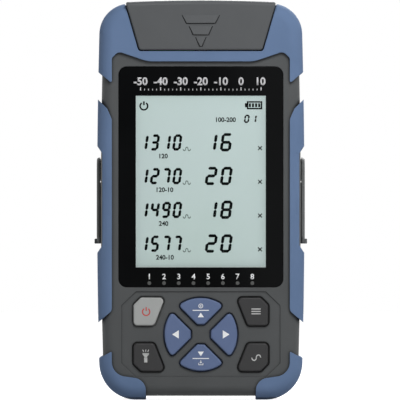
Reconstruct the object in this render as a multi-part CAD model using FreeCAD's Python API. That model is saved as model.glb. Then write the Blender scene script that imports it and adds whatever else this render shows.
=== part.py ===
import FreeCAD, Part
import math
import os

# Handheld optical power meter, upright on its lower bumpers, millimetres.
# X runs across the front, the front faces -Y, Z is up. The origin is on the ground
# under the middle of the casing.

V = FreeCAD.Vector

# --- Casing: two moulded half shells ---
case_half = 47.8          # half width at mid height
case_low = 1.8            # lower edge above the ground
case_high = 187.8         # upper edge
case_half_depth = 21.0    # from the middle to the front or the back face
side_bow = 1.5            # how much wider the middle is than the ends
case_low_corner = 16.0    # lower corners, seen from the front
case_high_corner = 13.0   # upper corners, seen from the front
case_edge = 5.0           # rounding of the front and back edges
case_wall = 2.5
parting = 0.0             # where the half shells meet
parting_groove = 0.5      # width and depth of the shadow groove round that joint
parting_depth = 0.4

# --- Rubber pieces over the casing ---
rubber_side = 1.8         # thickness on the sides
rubber_face = 1.6         # thickness on the front and back
rubber_foot = 1.8         # thickness under the lower edge
rubber_crown = 1.7        # thickness over the upper edge
rubber_wrap = 5.3         # from the casing's side to the rubber's edge on the front and back
band_drop = 5.4           # top bumper's lower edge below the port cover
band_bend = 25.5          # half width where that edge starts to rise
band_round = 16.0
shoulder_set = 3.1        # from the rubber's inner edge to the casing's peak beside the bumper
shoulder_rise = 4.7       # height of that peak over the bumper's lower edge
shoulder_round = 3.0
ear_drop = 15.2           # lower tip of the top bumper below that peak
ear_slope = 0.85          # rise of the diagonal ends over their run
grip_high_share = 0.71353  # upper end of a grip's inner edge, as a share of the casing's height
grip_low = 42.5           # lower end of a grip's inner edge
grip_round = 3.0
grip_nose_half = 2.2      # width and height of the bend at a grip's upper end
grip_nose_high = 5.1
foot_half = 26.3          # half width where the lower bumpers begin
foot_high = 9.7           # height of a lower bumper's inner edge
foot_slant = 2.4          # how much that edge rises towards the side
foot_tip = 23.2           # height of its tip beside the keypad
foot_inner_round = 6.0
foot_outer_round = 7.0
foot_slope = 0.55
waist_inset = 0.7         # waist cut for the stand, inside the casing's side
waist_over = 7.7          # waist cut above the stand's axis
waist_under = 0.7         # waist cut below the stand
waist_slope = 1.5         # rise of the cut's ends over their run

# --- Port cover and the bay behind it ---
cover_drop = 20.7         # cover's lower edge below the casing's upper edge
cover_rise = 1.4          # top of the cover over the top bumper
cover_low_half = 29.4     # half width along the lower edge
cover_top_half = 36.3     # half width along the upper edge
cover_corner = 1.6
cover_crown = 0.9         # how much the middle of the top stands over its ends
cover_proud = 0.8         # front of the cover over the top bumper
cover_wall = 2.0
cover_edge = 0.9          # rounding of its front edges
cover_top_edge = 2.0      # rounding of the front edge along its top
cover_gap = 0.5
barrel_radius = 2.5       # hinge barrel along the top rear edge
knuckle_half = 15.3       # half width of the raised middle knuckle
knuckle_rise = 0.5        # how much that knuckle stands over the barrel
lug_width = 7.0           # width of each casing lug between the cover's knuckles
hinge_gap = 0.4
hinge_set = 1.6           # hinge axis inside the back face
hinge_pin_radius = 1.0
hinge_pin_half = 31.0
pin_gap = 0.06
bay_rear_wall = 4.1       # from the back face to the rear face of the bay
bay_wall = 2.0
bay_narrow = 1.2          # the bay's rear part is this much narrower on each side
bay_narrow_y = 10.0       # depth where that part begins
lug_set = 0.6             # back of a casing lug inside the back face
lug_root = 3.0            # lug below the barrel
wedge_rise = 0.5          # height of the raised wedges on the cover
wedge_line = 0.4          # width and depth of the line sunk round each wedge
# lower and upper edge of each wedge: height over the cover's lower edge, and half width
cover_wedges = [(12.9, 6.7, 16.7, 8.8), (7.4, 3.5, 11.4, 5.4), (1.9, 0.4, 6.1, 2.3)]
panel_thick = 2.5
panel_gap = 0.15
ledge = 2.0

# --- Fibre ports ---
port_x = 14.0
port_y = -3.0
port_width = 12.4
port_depth = 9.3
port_high = 10.4          # height over the panel
port_under = 12.0         # length under the panel
port_flange = 22.0
port_flange_thick = 1.8
mouth_width = 9.2
mouth_depth = 7.6
mouth_recess = 5.0        # from the rim down to the inner tube
port_floor = 2.0
port_gap = 0.1
tube_radius = 2.5
sleeve_outer = 1.6
sleeve_bore = 1.25
sleeve_length = 11.4
key_slot = 2.4
port_screw_radius = 0.9
port_screw_head = 1.7
lamp_radius = 2.5
lamp_rim = 3.1
lamp_high = 4.0

# --- Display ---
window_half = 39.3
window_low = 53.8
window_drop = 28.6        # its upper edge below the casing's upper edge
window_corner = 4.0
window_thick = 1.4
window_proud = 0.2
window_gap = 0.15
screen_half = 33.0        # opening in the casing behind the window
screen_low = 61.0
screen_drop = 11.2        # its upper edge below the window's
screen_corner = 1.5
lcd_lap = 2.0             # how far the display reaches past that opening
lcd_thick = 2.4
guide_thick = 2.6
lcd_gap = 0.1
lamp_count = 8
lamp_pitch = 7.03
lamp_height = 55.8
lamp_bore = 0.95
lamp_gap = 0.1

# --- Keys ---
pad_height = 31.3         # height of the middle of the key pad
pad_set = 9.8             # from the casing's side to the key field
pad_rise = 20.5           # half height of the eight sided key field
pad_cut = 7.0             # cut-off corners of the field
pad_corner_z = 13.8       # half height of its side edges
pad_recess = 0.4
ring_radius = 18.1        # circle round the four arrow keys
ring_diagonal = 1.5       # from the diagonals to the edge of an arrow key's hole
ring_flat = 4.1           # from the middle to an arrow key's inner edge
ring_corner = 2.2
ring_tip_corner = 1.5
corner_key_set = 14.9     # from the casing's side to a corner key's outer edge
corner_key_inner = 21.8   # inner edge, at the end beside the ring
corner_key_far = 16.0     # inner edge, at the far end
corner_key_low = 3.5      # from the middle of the pad to the near edge
corner_key_high = 18.3    # from the middle of the pad to the far edge
corner_key_cut = 4.0      # cut-off outer corner
corner_key_round = 2.6
corner_key_cut_round = 2.0
key_gap = 0.7
key_proud = 1.5           # height of the keys over the key field
key_edge = 0.7
key_lip = 1.0             # retaining flange past the hole
key_lip_thick = 1.2
key_seat = 0.1
key_travel = 0.8
key_spare = 0.1
dome_low = 4.0
dome_top = 2.6
mat_thick = 1.0
mat_lap = 0.6             # mat past the corner keys
mat_margin = 1.2

# --- Board and inner parts ---
board_room = 1.4          # between the light guide and the board
board_thick = 1.6
board_gap = 0.6           # between the board and the screw bosses
board_low = 6.5
board_drop = 29.8         # its upper edge below the casing's
board_cut = 4.0
post_radius = 1.6
post_x = 30.0
post_low_x = 14.0
post_low = 8.4
post_middle = 53.4
post_drop = 3.5           # upper posts below the board's upper edge
module_half = 25.0
module_tall = 33.9
module_depth = 17.0
module_gap = 0.1
module_round = 1.5

# --- Case screws ---
boss_set = 9.2            # from the casing's side to a screw's axis
boss_low = 26.0
boss_drop = 31.8          # upper screws below the casing's upper edge
boss_radius = 3.6
boss_end = 3.0            # solid end of the front boss
screw_radius = 1.4
screw_head = 2.6
screw_head_thick = 2.0
screw_sink = 0.6          # head below the back face
screw_gap = 0.1
hex_width = 2.5

# --- Tilt stand ---
stand_low_share = 0.3967   # lower end and axis, as shares of the casing's height
stand_axis_share = 0.58573
stand_thick = 2.0
stand_side = 1.6
stand_gap = 0.3
stand_side_gap = 0.7      # between an arm and the casing's side
stand_reach = 6.0         # from the axis to the arm's front, back and top
stand_plate_drop = 6.0    # from the axis down to the plate's upper edge
stand_rim = 0.1           # the closed stand's back below the back face
stand_pin_radius = 1.6
stand_pin_depth = 2.0     # pin in the casing
stand_boss_radius = 5.4   # round spacer on the casing behind an arm's upper end
stand_boss_gap = 0.1
stand_nub = 1.1
stand_nub_high = 2.4
stand_room = 1.3          # free height above and below the closed stand
stand_window_half = 30.0  # half width of the opening in the stand's plate
stand_bar = 9.0           # height of the plate's lower bar
stand_upper_bar = 6.0
stand_window_corner = 4.0
stand_corner = 3.0        # bend between the arm's lower end and its front
stand_edge = 1.2
stand_nub_deep = 5.0

# --- Battery bay ---
cell_radius = 7.25
cell_length = 50.5
cell_count = 3
cell_gap = 0.4
cell_tip_radius = 2.7
cell_tip = 1.4
cell_edge = 0.6
contact_room = 2.2
contact_thick = 0.5
tub_low = 15.0
tub_wall = 1.6
door_thick = 2.0
door_lap = 3.4            # door past the tub on each side
door_gap = 0.3
door_corner = 3.0
door_pin_radius = 0.8
door_pin_length = 1.3
rim_lap = 2.0
grip_ribs = 4
grip_rib_pitch = 2.2
grip_rib_half = 9.0
grip_rib_set = 4.0        # lowest rib over the door's lower edge
grip_rib_radius = 0.7
grip_rib_depth = 0.55

cut_reach = 12.0          # how far cutting outlines run past the rubber's edge


# --- Values worked out from those above ---
far = 2 * case_high       # longer than anything it cuts
wall_inner = case_half_depth - case_wall
rubber_inner = case_half - rubber_wrap
waist_half = case_half - waist_inset
stand_low = case_high * stand_low_share
stand_axis_z = case_high * stand_axis_share
waist_low = stand_low - waist_under
waist_high = stand_axis_z + waist_over
grip_high = case_high * grip_high_share
cover_low = case_high - cover_drop
cover_high = case_high + rubber_crown + cover_rise
cover_face = case_half_depth + rubber_face + cover_proud
hinge_y = case_half_depth - hinge_set
hinge_z = cover_high - barrel_radius
bay_back = case_half_depth - bay_rear_wall
bay_floor = cover_low - cover_gap
panel_low = bay_floor - panel_thick
lug_outer = knuckle_half + hinge_gap + lug_width
boss_x = case_half - boss_set
board_half = boss_x - boss_radius - board_gap
board_face = wall_inner - lcd_gap - lcd_thick - guide_thick - board_room
window_back = -case_half_depth - window_proud + window_thick
window_high = case_high - window_drop
screen_high = window_high - screen_drop
board_high = case_high - board_drop
post_high = board_high - post_drop
boss_high = case_high - boss_drop
pad_half = case_half - pad_set
pad_corner_x = pad_half - pad_cut
corner_key_side = case_half - corner_key_set
mat_half = corner_key_side + mat_lap
lcd_front = -wall_inner + lcd_gap
field_face = -case_half_depth + pad_recess
lip_front = -wall_inner + key_seat
lip_back = lip_front + key_lip_thick
dome_front = lip_back + key_travel + key_spare


# --- Helpers ---
def outline_face(corners):
    # Face in the XZ plane from (x, z, radius) corners in order.
    spots = [V(x, 0, z) for x, z, radius in corners]
    stretches = []
    for i, (x, z, radius) in enumerate(corners):
        here = spots[i]
        back = (spots[i - 1] - here).normalize()
        ahead = (spots[(i + 1) % len(spots)] - here).normalize()
        half_angle = back.getAngle(ahead) / 2
        run = radius / math.tan(half_angle)
        middle = here
        if radius > 0:
            inward = (back + ahead).normalize()
            middle = here + inward * (radius / math.sin(half_angle) - radius)
        stretches.append((here + back * run, middle, here + ahead * run))
    edges = []
    for i, (start, middle, end) in enumerate(stretches):
        if corners[i][2] > 0:
            edges.append(Part.Arc(start, middle, end).toShape())
        following = stretches[(i + 1) % len(stretches)][0]
        if end.distanceToPoint(following) > 0.0001:
            edges.append(Part.makeLine(end, following))
    return Part.Face(Part.Wire(edges))


def slab(face, front, back):
    # Solid between two depths from a face in the XZ plane.
    placed = face.copy()
    placed.translate(V(0, front, 0))
    return placed.extrude(V(0, back - front, 0))


def plate(corners, front, back):
    return slab(outline_face(corners), front, back)


def box(x0, x1, y0, y1, z0, z1):
    return Part.makeBox(x1 - x0, y1 - y0, z1 - z0, V(x0, y0, z0))


def rod_y(radius, x, z, front, back):
    return Part.makeCylinder(radius, back - front, V(x, front, z), V(0, 1, 0))


def rod_x(radius, left, right, y, z):
    return Part.makeCylinder(radius, right - left, V(left, y, z), V(1, 0, 0))


def rod_z(radius, x, y, low, high):
    return Part.makeCylinder(radius, high - low, V(x, y, low), V(0, 0, 1))


def mirrored(shape):
    return shape.mirror(V(0, 0, 0), V(1, 0, 0))


def both_sides(shape):
    return [shape, mirrored(shape)]


def edges_at_depth(shape, y):
    return [e for e in shape.Edges if abs(e.BoundBox.YMin - y) < 0.01 and abs(e.BoundBox.YMax - y) < 0.01]


def edges_through(shape):
    # Straight edges that run from front to back over the whole depth.
    depth = shape.BoundBox.YLength
    return [e for e in shape.Edges if e.BoundBox.YLength > depth - 0.01 and e.BoundBox.XLength < 0.01
            and e.BoundBox.ZLength < 0.01]


def joined(first, others):
    return first.fuse(others).removeSplitter()


# --- Casing forms ---
def rounded_block(half, low, high, half_depth, low_corner, high_corner, edge):
    end_half = half - side_bow
    middle = (low + high) / 2
    outline = [
        Part.makeLine(V(-end_half, 0, low), V(end_half, 0, low)),
        Part.Arc(V(end_half, 0, low), V(half, 0, middle), V(end_half, 0, high)).toShape(),
        Part.makeLine(V(end_half, 0, high), V(-end_half, 0, high)),
        Part.Arc(V(-end_half, 0, high), V(-half, 0, middle), V(-end_half, 0, low)).toShape(),
    ]
    body = slab(Part.Face(Part.Wire(outline)), -half_depth, half_depth)
    body = body.makeFillet(low_corner, [e for e in edges_through(body) if e.BoundBox.ZMax < middle])
    body = body.makeFillet(high_corner, [e for e in edges_through(body) if e.BoundBox.ZMin > middle])
    return body.makeFillet(edge, edges_at_depth(body, -half_depth) + edges_at_depth(body, half_depth))


def casing_block(shrink):
    return rounded_block(case_half - shrink, case_low + shrink, case_high - shrink,
                         case_half_depth - shrink, case_low_corner - shrink,
                         case_high_corner - shrink, case_edge - shrink)


def rubber_block():
    return rounded_block(case_half + rubber_side, case_low - rubber_foot, case_high + rubber_crown,
                         case_half_depth + rubber_face, case_low_corner + rubber_side,
                         case_high_corner + rubber_side, case_edge + rubber_face)


def cover_half_at(height):
    slope = (cover_top_half - cover_low_half) / (cover_high - cover_low)
    return cover_low_half + slope * (height - cover_low)


def cover_outline(grow, low, high, corner):
    low_half = cover_half_at(low) + grow
    high_half = cover_half_at(high) + grow
    return [(-low_half, low, corner), (low_half, low, corner), (high_half, high, 0), (-high_half, high, 0)]


def bay_pocket():
    # Everything the closed cover, its hinge and the panel need to be clear of the casing.
    pocket = plate(cover_outline(cover_gap, bay_floor, far, cover_corner), -far, bay_narrow_y)
    rear = plate(cover_outline(cover_gap - bay_narrow, bay_floor, far, cover_corner), bay_narrow_y, bay_back)
    notch_half = cover_top_half + cover_gap - bay_narrow
    notch_low = hinge_z - barrel_radius - knuckle_rise - hinge_gap
    notch = box(-notch_half, notch_half, hinge_y - barrel_radius - 2 * hinge_gap, far, notch_low, far)
    seat = plate(cover_outline(0, panel_low, bay_floor, 0), -wall_inner, bay_back)
    return pocket.fuse([rear, notch, seat])


def bay_shell():
    low = panel_low - ledge
    outer = plate(cover_outline(cover_gap + bay_wall, low, far, 0), -far, far).common(casing_block(0))
    inner = plate(cover_outline(-ledge, low - 1, panel_low + 1, 0), -wall_inner + ledge, bay_back - ledge)
    return outer.cut(inner)


def hinge_lugs():
    left = box(-lug_outer, -lug_outer + lug_width, hinge_y - barrel_radius, case_half_depth - lug_set,
               hinge_z - barrel_radius - lug_root, hinge_z)
    barrel = rod_x(barrel_radius, -lug_outer, -lug_outer + lug_width, hinge_y, hinge_z)
    return both_sides(left.fuse(barrel))


# --- Battery bay values ---
tub_half = cell_length / 2 + contact_room
tub_high = tub_low + cell_count * (2 * cell_radius + cell_gap) + cell_gap
door_face = case_half_depth - door_thick
cell_y = door_face - cell_gap - cell_radius
tub_floor = cell_y - cell_radius - 0.2
door_half = tub_half + door_lap
door_low = tub_low - door_lap
door_high = tub_high + door_lap + 1
door_axis_y = case_half_depth - door_thick / 2
door_axis_z = door_high - door_gap - door_thick / 2


def cell_height(index):
    return tub_low + cell_gap + cell_radius + index * (2 * cell_radius + cell_gap)


def door_outline(grow):
    half = door_half + grow
    corner = door_corner + grow
    return [(-half, door_low - grow, corner), (half, door_low - grow, corner),
            (half, door_high + grow, 0.8), (-half, door_high + grow, 0.8)]


def battery_tub():
    walls = box(-tub_half - tub_wall, tub_half + tub_wall, tub_floor - tub_wall, door_face,
                tub_low - tub_wall, tub_high + tub_wall)
    rim = plate(door_outline(rim_lap), door_face - tub_wall, case_half_depth - 0.3)
    room = box(-tub_half, tub_half, tub_floor, far, tub_low, tub_high)
    holes = rod_x(door_pin_radius + pin_gap, -door_half - door_pin_length, door_half + door_pin_length,
                  door_axis_y, door_axis_z)
    return walls.fuse(rim).cut(room), plate(door_outline(0), door_face, far).fuse([room, holes])


# --- Stand values ---
stand_inner = case_half + stand_side_gap
stand_outer = stand_inner + stand_side
stand_back = case_half_depth - stand_rim
stand_face = stand_back - stand_thick
stand_axis_y = stand_back - stand_reach
recess_floor = stand_face - stand_gap
recess_low = stand_low - stand_room
recess_high = stand_axis_z + stand_reach + stand_room
stand_pin_tip = case_half - stand_pin_depth


def stand_recess():
    return box(-far, far, recess_floor, far, recess_low, recess_high)


def stand_backing():
    # The casing wall follows the recess inwards.
    return box(-far, far, recess_floor - case_wall, far, recess_low - case_wall,
               recess_high + case_wall).common(casing_block(0))


def waist_cut():
    corners = [(-waist_half, waist_low, 0.6), (-waist_half, waist_high, 0.6),
               (-waist_half - cut_reach, waist_high + cut_reach * waist_slope, 0),
               (-waist_half - cut_reach, waist_low - cut_reach * waist_slope, 0)]
    return plate(corners, -far, far)


# --- Keys ---
def arrow_prism(grow, front, back):
    # The upper arrow key: a sector with its inner tip cut flat.
    side = (ring_diagonal - grow) * math.sqrt(2)
    flat = ring_flat - grow
    reach = 2 * ring_radius
    wedge = plate([(side - flat, pad_height + flat, 0), (flat - side, pad_height + flat, 0),
                   (reach - side, pad_height + reach, 0), (side - reach, pad_height + reach, 0)],
                  front, back)
    body = wedge.common(rod_y(ring_radius + grow, 0, pad_height, front, back))
    middle = pad_height + ring_radius / 2
    outer = [e for e in edges_through(body) if e.BoundBox.ZMin > middle]
    body = body.makeFillet(ring_corner + grow, outer)
    inner = [e for e in edges_through(body) if e.BoundBox.ZMin < middle]
    return body.makeFillet(ring_tip_corner + grow, inner)


def corner_prism(grow, front, back):
    # The upper left key: its inner side leans along the ring of arrow keys.
    low = pad_height + corner_key_low
    high = pad_height + corner_key_high
    face = outline_face([
        (-corner_key_side, low, corner_key_round), (-corner_key_inner, low, corner_key_round),
        (-corner_key_far, high, corner_key_round),
        (-corner_key_side + corner_key_cut, high, corner_key_cut_round),
        (-corner_key_side, high - corner_key_cut, corner_key_cut_round)])
    return slab(face.makeOffset2D(grow) if grow else face, front, back)


def turned(shape, quarter):
    copy = shape.copy()
    copy.rotate(V(0, 0, pad_height), V(0, 1, 0), 90 * quarter)
    return copy


def flipped(shape):
    return shape.mirror(V(0, 0, pad_height), V(0, 0, 1))


def as_it_is(shape):
    return shape


key_places = {
    "up_key": (arrow_prism, as_it_is),
    "right_key": (arrow_prism, lambda shape: turned(shape, 1)),
    "down_key": (arrow_prism, lambda shape: turned(shape, 2)),
    "left_key": (arrow_prism, lambda shape: turned(shape, 3)),
    "power_key": (corner_prism, as_it_is),
    "menu_key": (corner_prism, mirrored),
    "torch_key": (corner_prism, flipped),
    "wave_key": (corner_prism, lambda shape: mirrored(flipped(shape))),
}

def key_cap(prism):
    cap = prism(-key_gap, field_face - key_proud, lip_back)
    cap = cap.makeFillet(key_edge, edges_at_depth(cap, field_face - key_proud))
    return joined(cap, [prism(key_lip, lip_front, lip_back)])


def key_holes():
    return [place(prism(0, -far, -wall_inner + 1)) for prism, place in key_places.values()]


def key_field():
    corners = [(-pad_half, pad_height - pad_corner_z, 1), (-pad_corner_x, pad_height - pad_rise, 1),
               (pad_corner_x, pad_height - pad_rise, 1), (pad_half, pad_height - pad_corner_z, 1),
               (pad_half, pad_height + pad_corner_z, 1), (pad_corner_x, pad_height + pad_rise, 1),
               (-pad_corner_x, pad_height + pad_rise, 1), (-pad_half, pad_height + pad_corner_z, 1)]
    return plate(corners, -far, field_face)


def keypad_mat():
    low = pad_height - pad_rise + mat_margin
    high = pad_height + pad_rise - mat_margin
    sheet = plate([(-mat_half, low, 3), (mat_half, low, 3), (mat_half, high, 3), (-mat_half, high, 3)],
                  -board_face - mat_thick, -board_face)
    domes = []
    for prism, place in key_places.values():
        middle = place(prism(0, 0, 1)).Solids[0].CenterOfMass
        height = -board_face - mat_thick - dome_front
        root = V(middle.x, -board_face - mat_thick, middle.z)
        domes.append(Part.makeCone(dome_low, dome_top, height, root, V(0, -1, 0)))
    return joined(sheet, domes)


# --- Display ---
def framed(half, low, high, corner):
    return [(-half, low, corner), (half, low, corner), (half, high, corner), (-half, high, corner)]


def window_seat():
    return plate(framed(window_half + window_gap, window_low - window_gap, window_high + window_gap,
                        window_corner + window_gap), -far, window_back)


def display_window():
    body = plate(framed(window_half, window_low, window_high, window_corner),
                 -case_half_depth - window_proud, window_back)
    return body.makeFillet(0.15, edges_at_depth(body, -case_half_depth - window_proud))


def lamp_places():
    first = -lamp_pitch * (lamp_count - 1) / 2
    return [first + lamp_pitch * i for i in range(lamp_count)]


def lcd_layer(front, thick):
    return plate(framed(screen_half + lcd_lap, screen_low - lcd_lap, screen_high + lcd_lap, screen_corner),
                 front, front + thick)


def indicator_pipes():
    pipes = [rod_y(lamp_bore - lamp_gap, x, lamp_height, window_back + 0.05, -board_face)
             for x in lamp_places()]
    return Part.makeCompound(pipes)


# --- Board ---
def main_board():
    low_half = board_half - board_cut
    corners = [(-low_half, board_low, 0), (low_half, board_low, 0),
               (board_half, board_low + board_cut, 0), (board_half, board_high, 1),
               (-board_half, board_high, 1), (-board_half, board_low + board_cut, 0)]
    return plate(corners, -board_face, -board_face + board_thick)


def board_posts():
    spots = [(post_x, post_middle), (post_x, post_high), (post_low_x, post_low)]
    posts = []
    for x, z in spots:
        posts += both_sides(rod_y(post_radius, x, z, -wall_inner - 0.5, -board_face))
    return posts


def optical_module():
    high = panel_low - port_under - 0.2
    front = -board_face + board_thick + module_gap
    body = box(-module_half, module_half, front, front + module_depth, high - module_tall, high)
    return body.makeFillet(module_round, [e for e in body.Edges if e.BoundBox.YLength > 1])


# --- Screw bosses ---
def boss_spots():
    return [(side * boss_x, z) for side in (-1, 1) for z in (boss_low, boss_high)]


screw_seat = case_half_depth - screw_sink - screw_head_thick


def front_bosses():
    bosses = []
    for x, z in boss_spots():
        boss = rod_y(boss_radius, x, z, -wall_inner - 0.5, parting)
        bosses.append(boss.cut(rod_y(screw_radius + pin_gap, x, z, -wall_inner + boss_end, far)))
    return bosses


def rear_bosses():
    return [rod_y(boss_radius, x, z, parting, case_half_depth - 1) for x, z in boss_spots()]


def rear_screw_holes():
    holes = []
    for x, z in boss_spots():
        holes.append(rod_y(screw_radius + screw_gap, x, z, parting - 1, far))
        holes.append(rod_y(screw_head + screw_gap, x, z, screw_seat, far))
    return holes


def case_screws():
    screws = []
    for x, z in boss_spots():
        head = rod_y(screw_head, x, z, screw_seat, screw_seat + screw_head_thick)
        shank = rod_y(screw_radius, x, z, -wall_inner + boss_end + 0.5, screw_seat)
        socket = Part.makePolygon([V(x + hex_width / math.sqrt(3) * math.cos(math.radians(60 * i)), 0,
                                     z + hex_width / math.sqrt(3) * math.sin(math.radians(60 * i)))
                                   for i in range(7)])
        screws.append(joined(head, [shank]).cut(slab(Part.Face(socket), screw_seat + 0.8, far)))
    return Part.makeCompound(screws)


# --- Housings ---
def casing_shell():
    shell = casing_block(0).cut(casing_block(case_wall))
    return shell.fuse([bay_shell(), stand_backing()])


def joint_groove():
    band = box(-far, far, parting - parting_groove / 2, parting + parting_groove / 2, -far, far)
    return band.cut(casing_block(parting_depth))


def front_housing():
    half = casing_shell().common(box(-far, far, -far, parting, -far, far))
    half = half.fuse(front_bosses() + board_posts())
    screen = plate(framed(screen_half, screen_low, screen_high, screen_corner), -far, -wall_inner + 1)
    lamps = [rod_y(lamp_bore, x, lamp_height, -far, -wall_inner + 1) for x in lamp_places()]
    cuts = [bay_pocket(), window_seat(), screen, key_field(), joint_groove()]
    half = half.cut(cuts + lamps + key_holes())
    return half.removeSplitter()


def stand_bosses():
    return both_sides(rod_x(stand_boss_radius, -stand_inner + stand_boss_gap, -case_half + case_wall,
                            stand_axis_y, stand_axis_z))


def rear_housing():
    tub, tub_room = battery_tub()
    half = casing_shell().common(box(-far, far, parting, far, -far, far))
    half = half.fuse(rear_bosses() + stand_bosses() + [tub])
    pin_holes = rod_x(stand_pin_radius + pin_gap, -case_half - 1, case_half + 1, stand_axis_y, stand_axis_z)
    between = box(-stand_pin_tip, stand_pin_tip, -far, far, -far, far)
    hinge_hole = rod_x(hinge_pin_radius + pin_gap, -far, far, hinge_y, hinge_z)
    room = [bay_pocket(), stand_recess(), tub_room, joint_groove(), pin_holes.cut(between)]
    half = half.cut(room + rear_screw_holes())
    lugs = [lug.cut(hinge_hole) for lug in hinge_lugs()]
    return joined(half, lugs)


# --- Rubber pieces ---
def rubber_skin():
    return rubber_block().cut(casing_block(0))


def top_bumper():
    low = cover_low - band_drop
    peak = low + shoulder_rise
    slope_run = rubber_wrap + cut_reach
    left = [(-band_bend, low, band_round), (-rubber_inner + shoulder_set, peak, shoulder_round),
            (-rubber_inner, peak - shoulder_set, shoulder_round / 2), (-rubber_inner, peak - ear_drop, 0.6),
            (-rubber_inner - slope_run, peak - ear_drop + slope_run * ear_slope, 0),
            (-rubber_inner - slope_run, far, 0)]
    right = [(-x, z, radius) for x, z, radius in reversed(left)]
    return rubber_skin().common(plate(left + right, -far, far)).cut(bay_pocket())


def side_grip():
    run = rubber_wrap + cut_reach
    nose_high = grip_high + grip_nose_high
    corners = [(-rubber_inner, grip_low, grip_round), (-rubber_inner, grip_high, grip_round),
               (-rubber_inner - grip_nose_half, nose_high, grip_round / 2),
               (-rubber_inner - run, nose_high + run - grip_nose_half, 0),
               (-rubber_inner - run, grip_low - run * ear_slope, 0)]
    grip = rubber_skin().common(plate(corners, -far, far))
    return grip.cut([waist_cut(), stand_recess()] + stand_bosses())


def lower_bumper():
    run = rubber_wrap + cut_reach
    under = case_low - 2 * rubber_foot
    corners = [(-foot_half, under, 0), (-foot_half, foot_high, foot_inner_round),
               (-rubber_inner, foot_high + foot_slant, foot_outer_round), (-rubber_inner, foot_tip, 0.4),
               (-rubber_inner - run, foot_tip - run * foot_slope, 0), (-rubber_inner - run, under, 0)]
    return rubber_skin().common(plate(corners, -far, far))


# --- Port cover ---
def cover_wedge(low, low_half, high, high_half):
    # A ramp that is flush at its upper edge and ends in a ledge at its lower edge.
    ramp = Part.Face(Part.makePolygon([V(-far, -cover_face + 0.5, high), V(-far, -cover_face, high),
                                       V(-far, -cover_face - wedge_rise, low),
                                       V(-far, -cover_face + 0.5, low),
                                       V(-far, -cover_face + 0.5, high)])).extrude(V(2 * far, 0, 0))
    corners = [(-low_half, low, 0), (low_half, low, 0), (high_half, high, 0), (-high_half, high, 0)]
    return ramp.common(plate(corners, -far, 0))


def wedge_outline(low, low_half, high, high_half):
    # The line along a wedge's two sides and its lower edge.
    inner = [(-low_half, low, 0), (low_half, low, 0), (high_half, high, 0), (-high_half, high, 0)]
    outer = [(-low_half - wedge_line, low - wedge_line, 0), (low_half + wedge_line, low - wedge_line, 0),
             (high_half + wedge_line, high, 0), (-high_half - wedge_line, high, 0)]
    return plate(outer, -far, wedge_line - cover_face).cut(plate(inner, -far, 0))


def port_cover():
    side = cover_half_at(cover_high)
    crown = Part.Face(Part.Wire([
        Part.Arc(V(-side, 0, cover_high - cover_crown), V(0, 0, cover_high),
                 V(side, 0, cover_high - cover_crown)).toShape(),
        Part.makeLine(V(side, 0, cover_high - cover_crown), V(side, 0, 0)),
        Part.makeLine(V(side, 0, 0), V(-side, 0, 0)),
        Part.makeLine(V(-side, 0, 0), V(-side, 0, cover_high - cover_crown))]))
    rear = hinge_y + barrel_radius
    hood_back = bay_narrow_y - cover_gap
    blank = plate(cover_outline(0, cover_low, cover_high, cover_corner), -cover_face, hood_back)
    blank = blank.common(slab(crown, -cover_face, hood_back))
    top = [e for e in edges_at_depth(blank, -cover_face) if e.BoundBox.ZMin > cover_high - 2 * cover_crown]
    blank = blank.makeFillet(cover_top_edge, top)
    blank = blank.makeFillet(cover_edge, edges_at_depth(blank, -cover_face))
    inside = plate(cover_outline(-cover_wall, 0, cover_high - cover_wall - cover_crown, 0),
                   -cover_face + cover_wall, far)
    hood = blank.cut(inside)
    barrel = rod_x(barrel_radius, -far, far, hinge_y, hinge_z)
    narrow = plate(cover_outline(-bay_narrow, hinge_z - barrel_radius, cover_high, 0), 0, rear)
    top_plate = box(-far, far, 0, hinge_y, hinge_z, far)
    rear_edge = narrow.common(slab(crown, 0, rear)).common(top_plate.fuse(barrel))
    knuckle = rod_x(barrel_radius + knuckle_rise, -knuckle_half, knuckle_half, hinge_y, hinge_z)
    wedges = [cover_wedge(cover_low + low, low_half, cover_low + high, high_half)
              for low, low_half, high, high_half in cover_wedges]
    lines = [wedge_outline(cover_low + low, low_half, cover_low + high, high_half)
             for low, low_half, high, high_half in cover_wedges]
    slots = both_sides(box(-lug_outer - hinge_gap, -knuckle_half, hinge_y - barrel_radius - hinge_gap,
                           far, hinge_z - far, far))
    hole = rod_x(hinge_pin_radius + pin_gap, -hinge_pin_half - pin_gap, hinge_pin_half + pin_gap,
                 hinge_y, hinge_z)
    return hood.fuse([rear_edge, knuckle] + wedges).cut(lines + slots + [hole]).removeSplitter()


# --- Fibre ports ---
def centred_box(width, depth, low, high):
    return box(port_x - width / 2, port_x + width / 2, port_y - depth / 2, port_y + depth / 2, low, high)


port_top = bay_floor + port_high
port_bottom = panel_low - port_under
tube_top = port_top - mouth_recess
sleeve_low = tube_top - 0.5 - sleeve_length


def fibre_port():
    body = centred_box(port_width, port_depth, port_bottom, port_top)
    body = body.makeFillet(0.6, [e for e in body.Edges if e.BoundBox.ZLength > 1])
    flange = centred_box(port_flange, port_depth, bay_floor, bay_floor + port_flange_thick)
    mouth = centred_box(mouth_width, mouth_depth, port_bottom + port_floor, far)
    slot = box(port_x - key_slot / 2, port_x + key_slot / 2, port_y, far, tube_top, far)
    tube = rod_z(tube_radius, port_x, port_y, port_bottom + port_floor - 0.5, tube_top)
    bore = rod_z(sleeve_outer + pin_gap, port_x, port_y, sleeve_low, far)
    body = body.fuse(flange).cut(mouth).fuse(tube).cut([bore, slot])
    for x in port_screw_places():
        body = body.cut(rod_z(port_screw_radius + pin_gap, x, port_y, bay_floor - 1, far))
    return body.removeSplitter()


def port_screw_places():
    offset = (port_flange + port_width) / 4
    return [port_x - offset, port_x + offset]


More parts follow.
